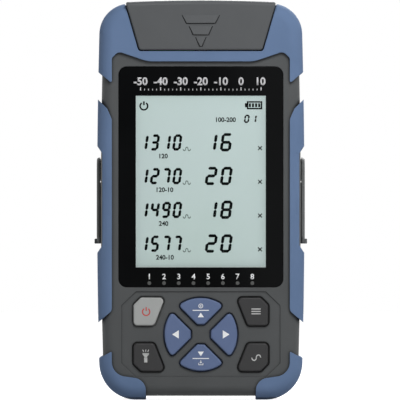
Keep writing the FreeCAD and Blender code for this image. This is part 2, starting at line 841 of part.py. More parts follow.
def alignment_sleeve():
    outer = rod_z(sleeve_outer, port_x, port_y, sleeve_low, sleeve_low + sleeve_length)
    return outer.cut(rod_z(sleeve_bore, port_x, port_y, 0, far))


def port_screws():
    screws = []
    for x in port_screw_places():
        top = bay_floor + port_flange_thick
        screw = rod_z(port_screw_head, x, port_y, top, top + 0.9).fuse(
            rod_z(port_screw_radius, x, port_y, panel_low + 0.5, top))
        screws += both_sides(screw)
    return Part.makeCompound(screws)


def port_panel():
    body = plate(cover_outline(-panel_gap, panel_low, bay_floor, 0), -wall_inner + panel_gap,
                 bay_back - panel_gap)
    cuts = [rod_z(lamp_radius + pin_gap, 0, port_y, 0, far)]
    cuts += both_sides(centred_box(port_width + 2 * port_gap, port_depth + 2 * port_gap, 0, far))
    for x in port_screw_places():
        cuts += both_sides(rod_z(port_screw_radius + pin_gap, x, port_y, 0, far))
    return body.cut(cuts)


def torch_lamp():
    stem = rod_z(lamp_radius, 0, port_y, panel_low, bay_floor + lamp_high - lamp_radius)
    dome = Part.makeSphere(lamp_radius, V(0, port_y, bay_floor + lamp_high - lamp_radius))
    rim = rod_z(lamp_rim, 0, port_y, panel_low - 1.2, panel_low)
    return joined(stem, [dome, rim])


# --- Tilt stand ---
def stand_profile():
    # Side view of the stand, in the YZ plane: straight bottom, round top about the axis.
    front = stand_axis_y - stand_reach
    back = stand_axis_y + stand_reach
    outline = Part.Wire([
        Part.makeLine(V(0, back, stand_axis_z), V(0, back, stand_low)),
        Part.makeLine(V(0, back, stand_low), V(0, front + stand_corner, stand_low)),
        Part.makeLine(V(0, front + stand_corner, stand_low), V(0, front, stand_low + stand_corner)),
        Part.makeLine(V(0, front, stand_low + stand_corner), V(0, front, stand_axis_z)),
        Part.Arc(V(0, front, stand_axis_z), V(0, stand_axis_y, stand_axis_z + stand_reach),
                 V(0, back, stand_axis_z)).toShape()])
    return Part.Face(outline)


def tilt_stand():
    face = stand_profile()
    face.translate(V(-stand_outer, 0, 0))
    body = face.extrude(V(2 * stand_outer, 0, 0))
    body = body.makeFillet(stand_edge, [e for e in body.Edges if abs(e.BoundBox.XLength) < 0.01])
    body = body.cut(box(-stand_inner, stand_inner, -far, stand_face, 0, far))
    plate_high = stand_axis_z - stand_plate_drop
    body = body.cut(box(-stand_inner, stand_inner, -far, far, plate_high, far))
    opening = plate(framed(stand_window_half, stand_low + stand_bar, plate_high - stand_upper_bar,
                           stand_window_corner), 0, far)
    nub_front = stand_axis_y - stand_reach + stand_corner
    nub = box(-stand_outer - stand_nub, -stand_inner - 0.5, nub_front, nub_front + stand_nub_deep,
              stand_low, stand_low + stand_nub_high)
    nub = nub.makeFillet(0.4, [e for e in nub.Edges if e.BoundBox.XMax < -stand_outer - stand_nub + 0.01])
    hole = rod_x(stand_pin_radius + pin_gap, -far, far, stand_axis_y, stand_axis_z)
    return body.fuse(both_sides(nub)).cut([opening, hole]).removeSplitter()


def stand_pins():
    pin = rod_x(stand_pin_radius, -stand_outer, -stand_pin_tip, stand_axis_y, stand_axis_z)
    return Part.makeCompound(both_sides(pin))


# --- Battery pieces ---
def battery_door():
    body = plate(door_outline(-door_gap), door_face + 0.02, case_half_depth)
    above = box(-far, far, 0, far, door_axis_z, far)
    barrel = rod_x(door_thick / 2, -far, far, door_axis_y, door_axis_z)
    rounded = body.common(barrel).common(above)
    body = body.cut(above).fuse(rounded)
    pins = rod_x(door_pin_radius, -door_half - door_pin_length + pin_gap,
                 door_half + door_pin_length - pin_gap, door_axis_y, door_axis_z)
    grooves = []
    for i in range(grip_ribs):
        z = door_low + grip_rib_set + grip_rib_pitch * i
        axis_y = case_half_depth + grip_rib_radius - grip_rib_depth
        grooves.append(rod_x(grip_rib_radius, -grip_rib_half, grip_rib_half, axis_y, z))
    return joined(body, [pins]).cut(grooves)


def battery_cell(index):
    z = cell_height(index)
    side = 1 if index % 2 == 0 else -1
    can = rod_x(cell_radius, -cell_length / 2, cell_length / 2 - cell_tip, cell_y, z)
    can = can.makeChamfer(cell_edge, [e for e in can.Edges if e.BoundBox.XLength < 0.01])
    tip = rod_x(cell_tip_radius, cell_length / 2 - cell_tip - 0.5, cell_length / 2, cell_y, z)
    cell = joined(can, [tip])
    return cell if side > 0 else mirrored(cell)


def battery_contacts():
    # At each end of the tub, one sprung cone and one flat plate beside each cell.
    contacts = []
    wide = cell_radius * 0.8
    for index in range(cell_count):
        z = cell_height(index)
        leaf = box(tub_half - contact_thick, tub_half, cell_y - wide, cell_y + wide, z - wide, z + wide)
        button_tip = cell_length / 2 + 0.1
        plus = leaf.fuse(rod_x(2.2, button_tip, tub_half, cell_y, z))
        cone = Part.makeCone(4.0, 2.4, tub_half - button_tip, V(tub_half, cell_y, z), V(-1, 0, 0))
        minus = mirrored(leaf.fuse(cone))
        pair = [plus, minus] if index % 2 == 0 else [mirrored(plus), mirrored(minus)]
        contacts += [piece.removeSplitter() for piece in pair]
    return Part.makeCompound(contacts)


# --- All pieces ---
def cover_hinge_pin():
    return rod_x(hinge_pin_radius, -hinge_pin_half, hinge_pin_half, hinge_y, hinge_z)


def pieces():
    grip = side_grip()
    bumper = lower_bumper()
    port = fibre_port()
    sleeve = alignment_sleeve()
    yield "front_housing", front_housing()
    yield "rear_housing", rear_housing()
    yield "top_bumper", top_bumper()
    yield "left_grip", grip
    yield "right_grip", mirrored(grip)
    yield "lower_left_bumper", bumper
    yield "lower_right_bumper", mirrored(bumper)
    yield "display_window", display_window()
    yield "lcd_panel", lcd_layer(lcd_front, lcd_thick)
    yield "light_guide", lcd_layer(lcd_front + lcd_thick, guide_thick)
    yield "indicator_pipes", indicator_pipes()
    yield "main_board", main_board()
    yield "keypad_mat", keypad_mat()
    for name, (prism, place) in key_places.items():
        yield name, place(key_cap(prism))
    yield "port_cover", port_cover()
    yield "cover_hinge_pin", cover_hinge_pin()
    yield "port_panel", port_panel()
    yield "left_fibre_port", mirrored(port)
    yield "right_fibre_port", port
    yield "left_alignment_sleeve", mirrored(sleeve)
    yield "right_alignment_sleeve", sleeve
    yield "port_screws", port_screws()
    yield "torch_lamp", torch_lamp()
    yield "optical_module", optical_module()
    yield "tilt_stand", tilt_stand()
    yield "stand_pins", stand_pins()
    yield "battery_door", battery_door()
    for index in range(cell_count):
        yield "battery_cell_%d" % (index + 1), battery_cell(index)
    yield "battery_contacts", battery_contacts()
    yield "case_screws", case_screws()


os.makedirs("parts", exist_ok=True)
for node, shape in pieces():
    shape.exportStep("parts/%s.step" % node)
    print(node, len(shape.Solids), shape.isValid(), round(shape.Volume, 1))
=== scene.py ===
import math
import bpy
from mathutils import Matrix, Vector


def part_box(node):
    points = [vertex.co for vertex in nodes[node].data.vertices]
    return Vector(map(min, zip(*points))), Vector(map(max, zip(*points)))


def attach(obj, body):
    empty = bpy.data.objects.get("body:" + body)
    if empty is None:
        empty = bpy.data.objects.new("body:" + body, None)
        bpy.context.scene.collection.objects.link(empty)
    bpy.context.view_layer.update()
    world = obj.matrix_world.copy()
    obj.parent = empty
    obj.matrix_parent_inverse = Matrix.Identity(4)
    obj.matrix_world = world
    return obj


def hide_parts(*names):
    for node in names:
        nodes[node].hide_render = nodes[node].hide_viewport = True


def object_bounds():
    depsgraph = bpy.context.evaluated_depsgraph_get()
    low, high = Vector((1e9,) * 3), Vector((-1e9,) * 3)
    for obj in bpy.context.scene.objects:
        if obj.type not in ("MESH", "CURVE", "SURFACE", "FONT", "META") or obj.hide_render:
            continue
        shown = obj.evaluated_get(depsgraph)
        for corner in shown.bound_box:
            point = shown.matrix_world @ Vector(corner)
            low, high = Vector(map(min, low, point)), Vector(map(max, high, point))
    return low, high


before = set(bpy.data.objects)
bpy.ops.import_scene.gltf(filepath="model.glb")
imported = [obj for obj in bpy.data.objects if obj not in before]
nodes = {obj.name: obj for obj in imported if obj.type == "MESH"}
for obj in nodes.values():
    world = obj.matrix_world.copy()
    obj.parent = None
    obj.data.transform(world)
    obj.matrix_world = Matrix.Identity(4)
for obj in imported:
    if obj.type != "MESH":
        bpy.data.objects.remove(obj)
cadLow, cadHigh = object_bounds()
mm = 0.001
touch = 1e-7  # metres within which two places are one


# small tools
def hue(red, green, blue):
    # screen colour, 0 to 255, as the linear colour the shader wants
    linear = []
    for value in (red, green, blue):
        part = value / 255
        linear.append(part / 12.92 if part <= 0.04045 else ((part + 0.055) / 1.055) ** 2.4)
    return (*linear, 1.0)


def pickOnly(*things):
    bpy.ops.object.select_all(action="DESELECT")
    for thing in things:
        thing.select_set(True)
    bpy.context.view_layer.objects.active = things[-1]


def bake(thing):
    # the place goes into the mesh
    pickOnly(thing)
    bpy.ops.object.transform_apply(location=True, rotation=True, scale=True)
    return thing


def editEdges(thing, wanted):
    # selects the edges for which wanted(first, second) is true and leaves edit mode open
    pickOnly(thing)
    bpy.ops.object.mode_set(mode="EDIT")
    bpy.ops.mesh.select_mode(type="EDGE")
    bpy.ops.mesh.select_all(action="DESELECT")
    bpy.ops.object.mode_set(mode="OBJECT")
    points = thing.data.vertices
    for edge in thing.data.edges:
        edge.select = wanted(points[edge.vertices[0]].co, points[edge.vertices[1]].co)
    bpy.ops.object.mode_set(mode="EDIT")


def closeEdit():
    bpy.ops.object.mode_set(mode="OBJECT")


def joinAs(name, parts):
    pickOnly(*parts)
    bpy.ops.object.join()
    piece = bpy.context.object
    piece.name = name
    piece.data.name = name
    return bake(piece)


def copyOf(thing, x=0.0, z=0.0):
    # a copy with its own mesh, moved by millimetres
    twin = thing.copy()
    twin.data = thing.data.copy()
    bpy.context.scene.collection.objects.link(twin)
    twin.data.transform(Matrix.Translation((x * mm, 0, z * mm)))
    return twin


def settle(piece, body, slotName, *materials):
    piece.data.materials.clear()
    for material in materials:
        piece.data.materials.append(material)
    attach(piece, body)


# shader groups
def makeGroup(name, inputs, outputs):
    group = bpy.data.node_groups.new(name, "ShaderNodeTree")
    for label, kind, value in inputs:
        socket = group.interface.new_socket(name=label, in_out="INPUT", socket_type=kind)
        socket.default_value = value
    for label, kind in outputs:
        group.interface.new_socket(name=label, in_out="OUTPUT", socket_type=kind)
    return group, group.nodes.new("NodeGroupInput"), group.nodes.new("NodeGroupOutput")


def feed(tree, socket, value):
    # links an output, or sets a plain value
    if isinstance(value, bpy.types.NodeSocket):
        tree.links.new(value, socket)
    else:
        socket.default_value = value


def addMath(tree, kind, first, second):
    node = tree.nodes.new("ShaderNodeMath")
    node.operation = kind
    feed(tree, node.inputs[0], first)
    feed(tree, node.inputs[1], second)
    return node.outputs[0]


edgeShape = {"samples": 6, "gain": 4.0}


def makeSoftEdge():
    # rounds the look of sharp moulded edges and gives a mask of them
    group, start, end = makeGroup(
        "softEdge", [("Radius", "NodeSocketFloat", 0.0004)],
        [("Normal", "NodeSocketVector"), ("Edge", "NodeSocketFloat")])
    bevel = group.nodes.new("ShaderNodeBevel")
    bevel.samples = edgeShape["samples"]
    geometry = group.nodes.new("ShaderNodeNewGeometry")
    dot = group.nodes.new("ShaderNodeVectorMath")
    dot.operation = "DOT_PRODUCT"
    group.links.new(start.outputs["Radius"], bevel.inputs["Radius"])
    group.links.new(bevel.outputs["Normal"], dot.inputs[0])
    group.links.new(geometry.outputs["Normal"], dot.inputs[1])
    away = addMath(group, "SUBTRACT", 1.0, dot.outputs["Value"])
    mask = addMath(group, "MULTIPLY", away, edgeShape["gain"])
    group.links.new(bevel.outputs["Normal"], end.inputs["Normal"])
    group.links.new(addMath(group, "MINIMUM", mask, 1.0), end.inputs["Edge"])
    return group


grainShape = {"pitDetail": 3.0, "pitRough": 0.6, "cellShare": 0.6, "mottleScale": 45.0,
              "mottleDetail": 4.0}


def makeMouldGrain():
    # spark-eroded mould texture: fine pits with slow mottling over them
    group, start, end = makeGroup(
        "mouldGrain", [("Scale", "NodeSocketFloat", 3000.0)],
        [("Height", "NodeSocketFloat"), ("Mottle", "NodeSocketFloat")])
    place = group.nodes.new("ShaderNodeTexCoord")
    pits = group.nodes.new("ShaderNodeTexNoise")
    pits.inputs["Detail"].default_value = grainShape["pitDetail"]
    pits.inputs["Roughness"].default_value = grainShape["pitRough"]
    cells = group.nodes.new("ShaderNodeTexVoronoi")
    cells.feature = "SMOOTH_F1"
    mottle = group.nodes.new("ShaderNodeTexNoise")
    mottle.inputs["Scale"].default_value = grainShape["mottleScale"]
    mottle.inputs["Detail"].default_value = grainShape["mottleDetail"]
    for texture in (pits, cells, mottle):
        group.links.new(place.outputs["Object"], texture.inputs["Vector"])
    for texture in (pits, cells):
        group.links.new(start.outputs["Scale"], texture.inputs["Scale"])
    coarse = addMath(group, "MULTIPLY", cells.outputs["Distance"], grainShape["cellShare"])
    height = addMath(group, "ADD", pits.outputs["Fac"], coarse)
    group.links.new(height, end.inputs["Height"])
    group.links.new(mottle.outputs["Fac"], end.inputs["Mottle"])
    return group


creaseShadeShape = {"samples": 8, "gain": 1.5}


def makeCavity():
    # painted shade: 1 deep in gaps and corners, 0 on open faces
    group, start, end = makeGroup(
        "creaseShade", [("Distance", "NodeSocketFloat", 0.0015)], [("Depth", "NodeSocketFloat")])
    near = group.nodes.new("ShaderNodeAmbientOcclusion")
    near.samples = creaseShadeShape["samples"]
    group.links.new(start.outputs["Distance"], near.inputs["Distance"])
    closed = addMath(group, "SUBTRACT", 1.0, near.outputs["AO"])
    depth = addMath(group, "MULTIPLY", closed, creaseShadeShape["gain"])
    group.links.new(addMath(group, "MINIMUM", depth, 1.0), end.inputs["Depth"])
    return group


softEdge = makeSoftEdge()
mouldGrain = makeMouldGrain()
creaseShade = makeCavity()


# materials
def startMaterial(name):
    material = bpy.data.materials.new(name)
    material.use_nodes = True
    tree = material.node_tree
    return material, tree, tree.nodes["Principled BSDF"]


def addGroup(tree, group, **values):
    node = tree.nodes.new("ShaderNodeGroup")
    node.node_tree = group
    for label, value in values.items():
        node.inputs[label].default_value = value
    return node


def mixColours(tree, amount, first, second):
    # the node's colours are its inputs 6 and 7 and its output 2
    mix = tree.nodes.new("ShaderNodeMix")
    mix.data_type = "RGBA"
    feed(tree, mix.inputs["Factor"], amount)
    feed(tree, mix.inputs[6], first)
    feed(tree, mix.inputs[7], second)
    return mix.outputs[2]


def shaded(colour, share):
    # a share of the colour's light
    return tuple(share * part for part in colour[:3]) + (1.0,)


noiseSpan = {"low": 0.3, "high": 0.7}


def spread(tree, value, low, high):
    # maps the usual span of a noise to low..high
    node = tree.nodes.new("ShaderNodeMapRange")
    node.inputs["From Min"].default_value = noiseSpan["low"]
    node.inputs["From Max"].default_value = noiseSpan["high"]
    node.inputs["To Min"].default_value = low
    node.inputs["To Max"].default_value = high
    tree.links.new(value, node.inputs["Value"])
    return node.outputs["Result"]


def mixByNoise(tree, noise, first, second):
    # runs from the first colour to the second over the noise
    return mixColours(tree, spread(tree, noise, 0.0, 1.0), first, second)


def addNoise(tree, scale, detail=2.0):
    # a noise that stays where it is on its piece
    place = tree.nodes.new("ShaderNodeTexCoord")
    noise = tree.nodes.new("ShaderNodeTexNoise")
    noise.inputs["Scale"].default_value = scale
    noise.inputs["Detail"].default_value = detail
    tree.links.new(place.outputs["Object"], noise.inputs["Vector"])
    return noise.outputs["Fac"]


def addBump(tree, surface, height, lift, strength=1.0, normal=None):
    # lift is in millimetres
    bump = tree.nodes.new("ShaderNodeBump")
    bump.inputs["Strength"].default_value = strength
    bump.inputs["Distance"].default_value = lift * mm
    tree.links.new(height, bump.inputs["Height"])
    if normal is not None:
        tree.links.new(normal, bump.inputs["Normal"])
    tree.links.new(bump.outputs["Normal"], surface.inputs["Normal"])


def openRays(tree):
    # 1 for the rays that should meet a white backdrop: seen, mirrored or through glass
    path = tree.nodes.new("ShaderNodeLightPath")
    seen = addMath(tree, "MAXIMUM", path.outputs["Is Camera Ray"], path.outputs["Is Glossy Ray"])
    return addMath(tree, "MAXIMUM", seen, path.outputs["Is Transmission Ray"])


mould = {"swing": 0.05, "lift": 0.06}
# painted crease shade: how far it reaches, how strongly it darkens, and its darkest share of the colour
creaseShadeLook = {"reach": 1.6, "strength": 0.9, "shade": 0.18}


def mouldedMaterial(name, look):
    # plastic or rubber from a textured mould; the edges are paler, partly from wear and partly as a
    # painted highlight, and painted shade darkens the creases
    material, tree, surface = startMaterial(name)
    edge = addGroup(tree, softEdge, Radius=look["edge"] * mm)
    grain = addGroup(tree, mouldGrain, Scale=look["grain"])
    body = mixByNoise(tree, grain.outputs["Mottle"], look["deep"], look["colour"])
    # paler edges: partly rubbing wear, partly a painted highlight where the edges catch the light
    edgeWearAndHighlight = addMath(tree, "MULTIPLY", edge.outputs["Edge"], look["wearAndHighlight"])
    body = mixColours(tree, edgeWearAndHighlight, body, look["pale"])
    # painted shade: darkens the colour in gaps and creases, where shade falls
    gap = addGroup(tree, creaseShade, Distance=creaseShadeLook["reach"] * mm)
    depth = addMath(tree, "MULTIPLY", gap.outputs["Depth"], creaseShadeLook["strength"])
    body = mixColours(tree, depth, body, shaded(look["colour"], creaseShadeLook["shade"]))
    tree.links.new(body, surface.inputs["Base Color"])
    low, high = look["rough"] - mould["swing"], look["rough"] + mould["swing"]
    tree.links.new(spread(tree, grain.outputs["Mottle"], low, high), surface.inputs["Roughness"])
    addBump(tree, surface, grain.outputs["Height"], mould["lift"], look["bump"], edge.outputs["Normal"])
    surface.inputs["Specular IOR Level"].default_value = look["shine"]
    return material


looks = {
    "casing": {"colour": hue(82, 84, 85), "deep": hue(77, 79, 80), "pale": hue(110, 112, 113),
               "rough": 0.55, "grain": 2600.0, "bump": 0.35, "edge": 0.45, "wearAndHighlight": 0.3, "shine": 0.14},
    "cover": {"colour": hue(85, 87, 89), "deep": hue(81, 83, 85), "pale": hue(112, 114, 115),
              "rough": 0.5, "grain": 2600.0, "bump": 0.3, "edge": 0.4, "wearAndHighlight": 0.3, "shine": 0.14},
    "rubber": {"colour": hue(102, 123, 156), "deep": hue(96, 117, 149), "pale": hue(128, 147, 177),
               "rough": 0.68, "grain": 2000.0, "bump": 0.3, "edge": 0.6, "wearAndHighlight": 0.3, "shine": 0.08},
    "stand": {"colour": hue(96, 98, 98), "deep": hue(90, 92, 92), "pale": hue(122, 124, 124),
              "rough": 0.5, "grain": 2600.0, "bump": 0.3, "edge": 0.35, "wearAndHighlight": 0.4, "shine": 0.3},
    "blueKey": {"colour": hue(94, 110, 145), "deep": hue(88, 104, 139), "pale": hue(112, 128, 160),
                "rough": 0.5, "grain": 3500.0, "bump": 0.15, "edge": 0.35, "wearAndHighlight": 0.3, "shine": 0.25},
    "darkKey": {"colour": hue(45, 45, 46), "deep": hue(41, 41, 42), "pale": hue(88, 88, 88),
                "rough": 0.45, "grain": 3500.0, "bump": 0.15, "edge": 0.35, "wearAndHighlight": 0.5, "shine": 0.25},
    "lightKey": {"colour": hue(166, 168, 167), "deep": hue(160, 162, 161), "pale": hue(194, 195, 194),
                 "rough": 0.5, "grain": 3500.0, "bump": 0.15, "edge": 0.35, "wearAndHighlight": 0.5, "shine": 0.25},
    "silicone": {"colour": hue(120, 122, 122), "deep": hue(112, 114, 114), "pale": hue(140, 142, 142),
                 "rough": 0.6, "grain": 1500.0, "bump": 0.2, "edge": 0.3, "wearAndHighlight": 0.2, "shine": 0.3},
    "panel": {"colour": hue(48, 49, 51), "deep": hue(43, 44, 46), "pale": hue(80, 81, 83),
              "rough": 0.55, "grain": 2600.0, "bump": 0.3, "edge": 0.25, "wearAndHighlight": 0.4, "shine": 0.3},
    "greenPort": {"colour": hue(36, 142, 82), "deep": hue(30, 132, 74), "pale": hue(80, 170, 118),
                  "rough": 0.32, "grain": 1200.0, "bump": 0.08, "edge": 0.2, "wearAndHighlight": 0.4, "shine": 0.5},
    "bluePort": {"colour": hue(38, 92, 178), "deep": hue(32, 84, 168), "pale": hue(90, 132, 200),
                 "rough": 0.32, "grain": 1200.0, "bump": 0.08, "edge": 0.2, "wearAndHighlight": 0.4, "shine": 0.5},
    "ceramic": {"colour": hue(236, 233, 226), "deep": hue(228, 225, 218), "pale": hue(244, 242, 238),
                "rough": 0.2, "grain": 900.0, "bump": 0.03, "edge": 0.1, "wearAndHighlight": 0.3, "shine": 0.6},
    "guide": {"colour": hue(214, 222, 216), "deep": hue(206, 214, 208), "pale": hue(230, 234, 230),
              "rough": 0.25, "grain": 700.0, "bump": 0.03, "edge": 0.2, "wearAndHighlight": 0.3, "shine": 0.5},
    "lens": {"colour": hue(72, 73, 72), "deep": hue(66, 67, 66), "pale": hue(104, 105, 104),
             "rough": 0.3, "grain": 1500.0, "bump": 0.1, "edge": 0.15, "wearAndHighlight": 0.4, "shine": 0.3},
}
finish = {name: mouldedMaterial(name, look) for name, look in looks.items()}


metalLook = {"edge": 0.1, "lines": 900.0, "detail": 5.0, "swing": 0.08, "dull": 0.8, "bump": 0.15,
             "lift": 0.03}
metals = {
    "steel": {"colour": hue(196, 198, 200), "rough": 0.3, "stretch": (0.1, 1.0, 1.0)},
    "screwBlack": {"colour": hue(84, 85, 88), "rough": 0.4, "stretch": (1.0, 0.2, 1.0)},
    "nickel": {"colour": hue(208, 200, 184), "rough": 0.28, "stretch": (1.0, 0.3, 0.3)},
    "aluminium": {"colour": hue(190, 192, 195), "rough": 0.42, "stretch": (0.4, 0.4, 1.0)},
}


def metalMaterial(name, metal):
    # turned or rolled metal with fine lines along one way
    material, tree, surface = startMaterial(name)
    edge = addGroup(tree, softEdge, Radius=metalLook["edge"] * mm)
    place = tree.nodes.new("ShaderNodeTexCoord")
    mapping = tree.nodes.new("ShaderNodeMapping")
    mapping.inputs["Scale"].default_value = metal["stretch"]
    texture = tree.nodes.new("ShaderNodeTexNoise")
    texture.inputs["Scale"].default_value = metalLook["lines"]
    texture.inputs["Detail"].default_value = metalLook["detail"]
    tree.links.new(place.outputs["Object"], mapping.inputs["Vector"])
    tree.links.new(mapping.outputs["Vector"], texture.inputs["Vector"])
    lines = texture.outputs["Fac"]
    low, high = metal["rough"] - metalLook["swing"], metal["rough"] + metalLook["swing"]
    tree.links.new(spread(tree, lines, low, high), surface.inputs["Roughness"])
    body = mixByNoise(tree, lines, shaded(metal["colour"], metalLook["dull"]), metal["colour"])
    tree.links.new(body, surface.inputs["Base Color"])
    addBump(tree, surface, lines, metalLook["lift"], metalLook["bump"], edge.outputs["Normal"])
    surface.inputs["Metallic"].default_value = 1.0
    return material


finish.update({name: metalMaterial(name, metal) for name, metal in metals.items()})


glassLook = {"haze": 35.0, "detail": 6.0, "black": hue(4, 5, 6), "blackPale": hue(8, 9, 10),
             "gloss": 0.03, "rough": (0.05, 0.09), "clear": hue(24, 30, 30),
             "clearRough": (0.04, 0.08), "alpha": 0.02}


def glossBlackMaterial():
    # black print behind clear gloss, with a faint haze
    material, tree, surface = startMaterial("glossBlack")
    haze = addNoise(tree, glassLook["haze"], glassLook["detail"])
    body = mixByNoise(tree, haze, glassLook["black"], glassLook["blackPale"])
    tree.links.new(body, surface.inputs["Base Color"])
    tree.links.new(spread(tree, haze, *glassLook["rough"]), surface.inputs["Roughness"])
    surface.inputs["Specular IOR Level"].default_value = glassLook["gloss"]
    return material


def clearMaterial():
    # the bare part of the pane, all but unseen
    material, tree, surface = startMaterial("windowClear")
    haze = addNoise(tree, glassLook["haze"])
    tree.links.new(spread(tree, haze, *glassLook["clearRough"]), surface.inputs["Roughness"])
    surface.inputs["Base Color"].default_value = glassLook["clear"]
    surface.inputs["Alpha"].default_value = glassLook["alpha"]
    return material


lcdLook = {"cloud": 18.0, "colour": hue(196, 213, 212), "deep": hue(193, 212, 208), "rough": (0.45, 0.52),
           "shine": 0.2}


def lcdMaterial():
    # pale reflective cell, very slightly uneven
    material, tree, surface = startMaterial("lcdFace")
    cloud = addNoise(tree, lcdLook["cloud"])
    body = mixByNoise(tree, cloud, lcdLook["deep"], lcdLook["colour"])
    tree.links.new(body, surface.inputs["Base Color"])
    tree.links.new(spread(tree, cloud, *lcdLook["rough"]), surface.inputs["Roughness"])
    surface.inputs["Specular IOR Level"].default_value = lcdLook["shine"]
    return material


inkLook = {"thin": 1400.0, "worn": 0.88, "rough": (0.4, 0.5), "shine": 0.04}
inks = {
    "inkWhite": hue(248, 249, 250), "inkSilver": hue(206, 206, 208), "inkGrey": hue(196, 197, 196),
    "inkRed": hue(205, 72, 66), "inkLcd": hue(6, 10, 10), "inkRimHighlight": hue(208, 222, 219),
    "inkLcdFine": hue(22, 30, 28), "inkLcdPale": hue(112, 128, 124),
}


def inkMaterial(name, colour):
    # printed ink, a little thin in places
    material, tree, surface = startMaterial(name)
    thin = addNoise(tree, inkLook["thin"])
    body = mixByNoise(tree, thin, shaded(colour, inkLook["worn"]), colour)
    tree.links.new(body, surface.inputs["Base Color"])
    tree.links.new(spread(tree, thin, *inkLook["rough"]), surface.inputs["Roughness"])
    surface.inputs["Specular IOR Level"].default_value = inkLook["shine"]
    return material


boardLook = {"tracks": 160.0, "gap": 0.06, "mask": hue(24, 92, 52), "maskDeep": hue(22, 84, 48),
             "track": hue(40, 118, 70), "lift": 0.03, "rough": 0.35}


def boardMaterial():
    # green solder mask over copper tracks
    material, tree, surface = startMaterial("boardGreen")
    place = tree.nodes.new("ShaderNodeTexCoord")
    tracks = tree.nodes.new("ShaderNodeTexBrick")
    tracks.inputs["Scale"].default_value = boardLook["tracks"]
    tracks.inputs["Mortar Size"].default_value = boardLook["gap"]
    tracks.inputs["Color1"].default_value = boardLook["mask"]
    tracks.inputs["Color2"].default_value = boardLook["maskDeep"]
    tracks.inputs["Mortar"].default_value = boardLook["track"]
    tree.links.new(place.outputs["Object"], tracks.inputs["Vector"])
    tree.links.new(tracks.outputs["Color"], surface.inputs["Base Color"])
    addBump(tree, surface, tracks.outputs["Fac"], boardLook["lift"])
    surface.inputs["Roughness"].default_value = boardLook["rough"]
    return material


cellLook = {"shoulder": 16.5, "sleeve": hue(44, 46, 52), "copper": hue(176, 138, 92), "metal": 0.6,
            "scuff": 260.0, "rough": (0.25, 0.38)}


def cellMaterial():
    # dark sleeve with a copper-coloured band past the shoulder at both ends
    material, tree, surface = startMaterial("cellSleeve")
    place = tree.nodes.new("ShaderNodeTexCoord")
    split = tree.nodes.new("ShaderNodeSeparateXYZ")
    tree.links.new(place.outputs["Object"], split.inputs["Vector"])
    along = addMath(tree, "ABSOLUTE", split.outputs["X"], 0.0)
    band = addMath(tree, "GREATER_THAN", along, cellLook["shoulder"] * mm)
    body = mixColours(tree, band, cellLook["sleeve"], cellLook["copper"])
    tree.links.new(body, surface.inputs["Base Color"])
    scuff = addNoise(tree, cellLook["scuff"])
    tree.links.new(spread(tree, scuff, *cellLook["rough"]), surface.inputs["Roughness"])
    tree.links.new(addMath(tree, "MULTIPLY", band, cellLook["metal"]), surface.inputs["Metallic"])
    return material


lampLook = {"flow": 400.0, "colour": hue(236, 240, 244), "deep": hue(214, 222, 232),
            "rough": 0.08, "clear": 0.7}


def lampMaterial():
    # moulded clear dome, slightly frosted in the colour
    material, tree, surface = startMaterial("lampClear")
    flow = addNoise(tree, lampLook["flow"])
    body = mixColours(tree, flow, lampLook["deep"], lampLook["colour"])
    tree.links.new(body, surface.inputs["Base Color"])
    surface.inputs["Roughness"].default_value = lampLook["rough"]
    surface.inputs["Transmission Weight"].default_value = lampLook["clear"]
    return material


finish.update({"glossBlack": glossBlackMaterial(), "windowClear": clearMaterial(),
               "lcdFace": lcdMaterial(), "board": boardMaterial(), "cell": cellMaterial(),
               "lamp": lampMaterial()})
finish.update({name: inkMaterial(name, colour) for name, colour in inks.items()})

nodeFinish = {
    "front_housing": "casing", "rear_housing": "casing", "battery_door": "casing",
    "top_bumper": "rubber", "left_grip": "rubber", "right_grip": "rubber",
    "lower_left_bumper": "rubber", "lower_right_bumper": "rubber",
    "lcd_panel": "lcdFace", "light_guide": "guide", "indicator_pipes": "lens",
    "main_board": "board", "keypad_mat": "silicone",
    "up_key": "blueKey", "down_key": "blueKey", "left_key": "blueKey", "right_key": "blueKey",
    "power_key": "lightKey", "menu_key": "darkKey", "torch_key": "darkKey", "wave_key": "darkKey",
    "port_cover": "cover", "cover_hinge_pin": "steel", "port_panel": "panel",
    "left_fibre_port": "greenPort", "right_fibre_port": "bluePort",
    "left_alignment_sleeve": "ceramic", "right_alignment_sleeve": "ceramic",
    "port_screws": "steel", "torch_lamp": "lamp", "optical_module": "aluminium",
    "tilt_stand": "stand", "stand_pins": "steel",
    "battery_cell_1": "cell", "battery_cell_2": "cell", "battery_cell_3": "cell",
    "battery_contacts": "nickel", "case_screws": "screwBlack",
}
for nodeName, finishName in nodeFinish.items():
    nodes[nodeName].data.materials.clear()
    nodes[nodeName].data.materials.append(finish[finishName])
print("stage: finishes on the frame's nodes")


# camera, lamps and stage
# millimetres: the width that is seen, its middle, and the camera's distance
view = {"width": 190.96, "middleX": -0.38, "middleZ": 95.5, "distance": 4000.0, "sensor": 36.0,
        "near": 50.0, "far": 20000.0}


def makeCamera():
    cameraData = bpy.data.cameras.new("camera")
    camera = bpy.data.objects.new("camera", cameraData)
    bpy.context.scene.collection.objects.link(camera)
    front = cadLow.y / mm
    camera.location = Vector((view["middleX"], front - view["distance"], view["middleZ"])) * mm
    camera.rotation_euler = (math.radians(90), 0, 0)
    cameraData.sensor_width = view["sensor"]
    cameraData.lens = view["sensor"] * view["distance"] / view["width"]
    cameraData.clip_start = view["near"] * mm
    cameraData.clip_end = view["far"] * mm
    bpy.context.scene.camera = camera


